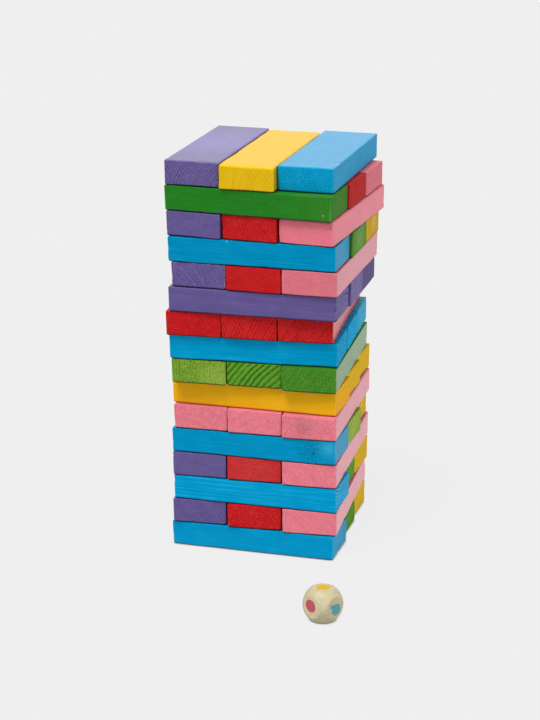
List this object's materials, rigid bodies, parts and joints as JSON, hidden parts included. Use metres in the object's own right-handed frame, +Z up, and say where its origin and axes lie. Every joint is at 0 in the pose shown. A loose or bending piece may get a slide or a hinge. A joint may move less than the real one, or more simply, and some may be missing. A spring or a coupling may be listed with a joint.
{
  "type": "block stacking tower game",
  "caption": "Tower of painted wooden blocks in crossed layers, with a colour die: blocks are pushed out and put back on top.",
  "frame": {"origin": "middle of the underside of the bottom layer, on the table, under the middle block", "axes": "+Z up the tower; +X to the right, along the bottom layer's blocks; -Y to the front, where the die lies"},
  "size_m": [0.101, 0.1457, 0.1787],
  "materials": {
    "purple_paint": "thin satin purple wood stain, the grain showing through",
    "yellow_paint": "thin satin yellow paint, the softest and smoothest of the set",
    "blue_paint": "thin satin blue paint over fine grain",
    "green_paint": "thin satin green paint over fine grain",
    "light_green_paint": "thin satin yellow-green paint over coarse grain",
    "dark_green_paint": "thin satin dark green paint over coarse grain",
    "red_paint": "thin satin red paint over fine grain",
    "pink_paint": "thin satin pink paint over fine grain",
    "bare_wood": "bare pale wood with round painted colour spots"
  },
  "bodies": {
    "block_01_front": {"block_01_front": "blue_paint"},
    "block_01_middle": {"block_01_middle": "green_paint"},
    "block_01_back": {"block_01_back": "yellow_paint"},
    "block_02_left": {"block_02_left": "purple_paint"},
    "block_02_middle": {"block_02_middle": "red_paint"},
    "block_02_right": {"block_02_right": "pink_paint"},
    "block_03_front": {"block_03_front": "blue_paint"},
    "block_03_middle": {"block_03_middle": "green_paint"},
    "block_03_back": {"block_03_back": "yellow_paint"},
    "block_04_left": {"block_04_left": "purple_paint"},
    "block_04_middle": {"block_04_middle": "red_paint"},
    "block_04_right": {"block_04_right": "pink_paint"},
    "block_05_front": {"block_05_front": "blue_paint"},
    "block_05_middle": {"block_05_middle": "green_paint"},
    "block_05_back": {"block_05_back": "yellow_paint"},
    "block_06_left": {"block_06_left": "pink_paint"},
    "block_06_middle": {"block_06_middle": "pink_paint"},
    "block_06_right": {"block_06_right": "pink_paint"},
    "block_07_front": {"block_07_front": "yellow_paint"},
    "block_07_middle": {"block_07_middle": "yellow_paint"},
    "block_07_back": {"block_07_back": "yellow_paint"},
    "block_08_left": {"block_08_left": "light_green_paint"},
    "block_08_middle": {"block_08_middle": "green_paint"},
    "block_08_right": {"block_08_right": "dark_green_paint"},
    "block_09_front": {"block_09_front": "blue_paint"},
    "block_09_middle": {"block_09_middle": "blue_paint"},
    "block_09_back": {"block_09_back": "blue_paint"},
    "block_10_left": {"block_10_left": "red_paint"},
    "block_10_middle": {"block_10_middle": "red_paint"},
    "block_10_right": {"block_10_right": "red_paint"},
    "block_11_front": {"block_11_front": "purple_paint"},
    "block_11_middle": {"block_11_middle": "purple_paint"},
    "block_11_back": {"block_11_back": "purple_paint"},
    "block_12_left": {"block_12_left": "purple_paint"},
    "block_12_middle": {"block_12_middle": "red_paint"},
    "block_12_right": {"block_12_right": "pink_paint"},
    "block_13_front": {"block_13_front": "blue_paint"},
    "block_13_middle": {"block_13_middle": "green_paint"},
    "block_13_back": {"block_13_back": "yellow_paint"},
    "block_14_left": {"block_14_left": "purple_paint"},
    "block_14_middle": {"block_14_middle": "red_paint"},
    "block_14_right": {"block_14_right": "pink_paint"},
    "block_15_front": {"block_15_front": "green_paint"},
    "block_15_middle": {"block_15_middle": "red_paint"},
    "block_15_back": {"block_15_back": "pink_paint"},
    "block_16_left": {"block_16_left": "purple_paint"},
    "block_16_middle": {"block_16_middle": "yellow_paint"},
    "block_16_right": {"block_16_right": "blue_paint"},
    "die": {"die": "bare_wood"}
  },
  "joints": [
    {"name": "slide_01_front", "type": "slide", "parent": "block_01_middle", "child": "block_01_front", "axis": [1, 0, 0], "range_m": [-0.08, 0.08]},
    {"name": "slide_01_back", "type": "slide", "parent": "block_01_middle", "child": "block_01_back", "axis": [1, 0, 0], "range_m": [-0.08, 0.08]},
    {"name": "slide_02_left", "type": "slide", "parent": "block_01_middle", "child": "block_02_left", "axis": [-0.0715, 0.9974, 0], "range_m": [-0.08, 0.08]},
    {"name": "slide_02_middle", "type": "slide", "parent": "block_01_middle", "child": "block_02_middle", "axis": [-0.0715, 0.9974, 0], "range_m": [-0.08, 0.08]},
    {"name": "slide_02_right", "type": "slide", "parent": "block_01_middle", "child": "block_02_right", "axis": [-0.0715, 0.9974, 0], "range_m": [-0.045, 0.08]},
    {"name": "slide_03_front", "type": "slide", "parent": "block_01_middle", "child": "block_03_front", "axis": [1, 0.0087, 0], "range_m": [-0.08, 0.08]},
    {"name": "slide_03_middle", "type": "slide", "parent": "block_01_middle", "child": "block_03_middle", "axis": [1, 0.0087, 0], "range_m": [-0.08, 0.08]},
    {"name": "slide_03_back", "type": "slide", "parent": "block_01_middle", "child": "block_03_back", "axis": [1, 0.0087, 0], "range_m": [-0.08, 0.08]},
    {"name": "slide_04_left", "type": "slide", "parent": "block_01_middle", "child": "block_04_left", "axis": [-0.0541, 0.9985, 0], "range_m": [-0.08, 0.08]},
    {"name": "slide_04_middle", "type": "slide", "parent": "block_01_middle", "child": "block_04_middle", "axis": [-0.0541, 0.9985, 0], "range_m": [-0.08, 0.08]},
    {"name": "slide_04_right", "type": "slide", "parent": "block_01_middle", "child": "block_04_right", "axis": [-0.0541, 0.9985, 0], "range_m": [-0.08, 0.08]},
    {"name": "slide_05_front", "type": "slide", "parent": "block_01_middle", "child": "block_05_front", "axis": [1, 0.0052, 0], "range_m": [-0.08, 0.08]},
    {"name": "slide_05_middle", "type": "slide", "parent": "block_01_middle", "child": "block_05_middle", "axis": [1, 0.0052, 0], "range_m": [-0.08, 0.08]},
    {"name": "slide_05_back", "type": "slide", "parent": "block_01_middle", "child": "block_05_back", "axis": [1, 0.0052, 0], "range_m": [-0.08, 0.08]},
    {"name": "slide_06_left", "type": "slide", "parent": "block_01_middle", "child": "block_06_left", "axis": [-0.0436, 0.999, 0], "range_m": [-0.08, 0.08]},
    {"name": "slide_06_middle", "type": "slide", "parent": "block_01_middle", "child": "block_06_middle", "axis": [-0.0436, 0.999, 0], "range_m": [-0.08, 0.08]},
    {"name": "slide_06_right", "type": "slide", "parent": "block_01_middle", "child": "block_06_right", "axis": [-0.0436, 0.999, 0], "range_m": [-0.08, 0.08]},
    {"name": "slide_07_front", "type": "slide", "parent": "block_01_middle", "child": "block_07_front", "axis": [1, -0.0035, 0], "range_m": [-0.08, 0.08]},
    {"name": "slide_07_middle", "type": "slide", "parent": "block_01_middle", "child": "block_07_middle", "axis": [1, -0.0035, 0], "range_m": [-0.08, 0.08]},
    {"name": "slide_07_back", "type": "slide", "parent": "block_01_middle", "child": "block_07_back", "axis": [1, -0.0035, 0], "range_m": [-0.08, 0.08]},
    {"name": "slide_08_left", "type": "slide", "parent": "block_01_middle", "child": "block_08_left", "axis": [-0.0628, 0.998, 0], "range_m": [-0.08, 0.08]},
    {"name": "slide_08_middle", "type": "slide", "parent": "block_01_middle", "child": "block_08_middle", "axis": [-0.0628, 0.998, 0], "range_m": [-0.08, 0.08]},
    {"name": "slide_08_right", "type": "slide", "parent": "block_01_middle", "child": "block_08_right", "axis": [-0.0628, 0.998, 0], "range_m": [-0.08, 0.08]},
    {"name": "slide_09_front", "type": "slide", "parent": "block_01_middle", "child": "block_09_front", "axis": [0.9966, 0.0819, 0], "range_m": [-0.08, 0.08]},
    {"name": "slide_09_middle", "type": "slide", "parent": "block_01_middle", "child": "block_09_middle", "axis": [0.9966, 0.0819, 0], "range_m": [-0.08, 0.08]},
    {"name": "slide_09_back", "type": "slide", "parent": "block_01_middle", "child": "block_09_back", "axis": [0.9966, 0.0819, 0], "range_m": [-0.08, 0.08]},
    {"name": "slide_10_left", "type": "slide", "parent": "block_01_middle", "child": "block_10_left", "axis": [-0.0872, 0.9962, 0], "range_m": [-0.08, 0.08]},
    {"name": "slide_10_middle", "type": "slide", "parent": "block_01_middle", "child": "block_10_middle", "axis": [-0.0872, 0.9962, 0], "range_m": [-0.08, 0.08]},
    {"name": "slide_10_right", "type": "slide", "parent": "block_01_middle", "child": "block_10_right", "axis": [-0.0872, 0.9962, 0], "range_m": [-0.08, 0.08]},
    {"name": "slide_11_front", "type": "slide", "parent": "block_01_middle", "child": "block_11_front", "axis": [0.9995, 0.0314, 0], "range_m": [-0.08, 0.08]},
    {"name": "slide_11_middle", "type": "slide", "parent": "block_01_middle", "child": "block_11_middle", "axis": [0.9995, 0.0314, 0], "range_m": [-0.08, 0.08]},
    {"name": "slide_11_back", "type": "slide", "parent": "block_01_middle", "child": "block_11_back", "axis": [0.9995, 0.0314, 0], "range_m": [-0.08, 0.08]},
    {"name": "slide_12_left", "type": "slide", "parent": "block_01_middle", "child": "block_12_left", "axis": [-0.007, 1, 0], "range_m": [-0.08, 0.08]},
    {"name": "slide_12_middle", "type": "slide", "parent": "block_01_middle", "child": "block_12_middle", "axis": [-0.007, 1, 0], "range_m": [-0.08, 0.08]},
    {"name": "slide_12_right", "type": "slide", "parent": "block_01_middle", "child": "block_12_right", "axis": [-0.007, 1, 0], "range_m": [-0.08, 0.08]},
    {"name": "slide_13_front", "type": "slide", "parent": "block_01_middle", "child": "block_13_front", "axis": [1, 0.0052, 0], "range_m": [-0.08, 0.08]},
    {"name": "slide_13_middle", "type": "slide", "parent": "block_01_middle", "child": "block_13_middle", "axis": [1, 0.0052, 0], "range_m": [-0.08, 0.08]},
    {"name": "slide_13_back", "type": "slide", "parent": "block_01_middle", "child": "block_13_back", "axis": [1, 0.0052, 0], "range_m": [-0.08, 0.08]},
    {"name": "slide_14_left", "type": "slide", "parent": "block_01_middle", "child": "block_14_left", "axis": [0.0558, 0.9984, 0], "range_m": [-0.08, 0.08]},
    {"name": "slide_14_middle", "type": "slide", "parent": "block_01_middle", "child": "block_14_middle", "axis": [0.0558, 0.9984, 0], "range_m": [-0.08, 0.08]},
    {"name": "slide_14_right", "type": "slide", "parent": "block_01_middle", "child": "block_14_right", "axis": [0.0558, 0.9984, 0], "range_m": [-0.08, 0.08]},
    {"name": "slide_15_front", "type": "slide", "parent": "block_01_middle", "child": "block_15_front", "axis": [0.9989, -0.0471, 0], "range_m": [-0.08, 0.08]},
    {"name": "slide_15_middle", "type": "slide", "parent": "block_01_middle", "child": "block_15_middle", "axis": [0.9989, -0.0471, 0], "range_m": [-0.08, 0.08]},
    {"name": "slide_15_back", "type": "slide", "parent": "block_01_middle", "child": "block_15_back", "axis": [0.9989, -0.0471, 0], "range_m": [-0.08, 0.08]},
    {"name": "lift_16_left", "type": "slide", "parent": "block_01_middle", "child": "block_16_left", "axis": [0, 0, 1], "range_m": [0, 0.06]},
    {"name": "lift_16_middle", "type": "slide", "parent": "block_01_middle", "child": "block_16_middle", "axis": [0, 0, 1], "range_m": [0, 0.06]},
    {"name": "lift_16_right", "type": "slide", "parent": "block_01_middle", "child": "block_16_right", "axis": [0, 0, 1], "range_m": [0, 0.06]},
    {"name": "lift_die", "type": "slide", "parent": "block_01_middle", "child": "die", "axis": [0, 0, 1], "range_m": [0, 0.06]}
  ]
}
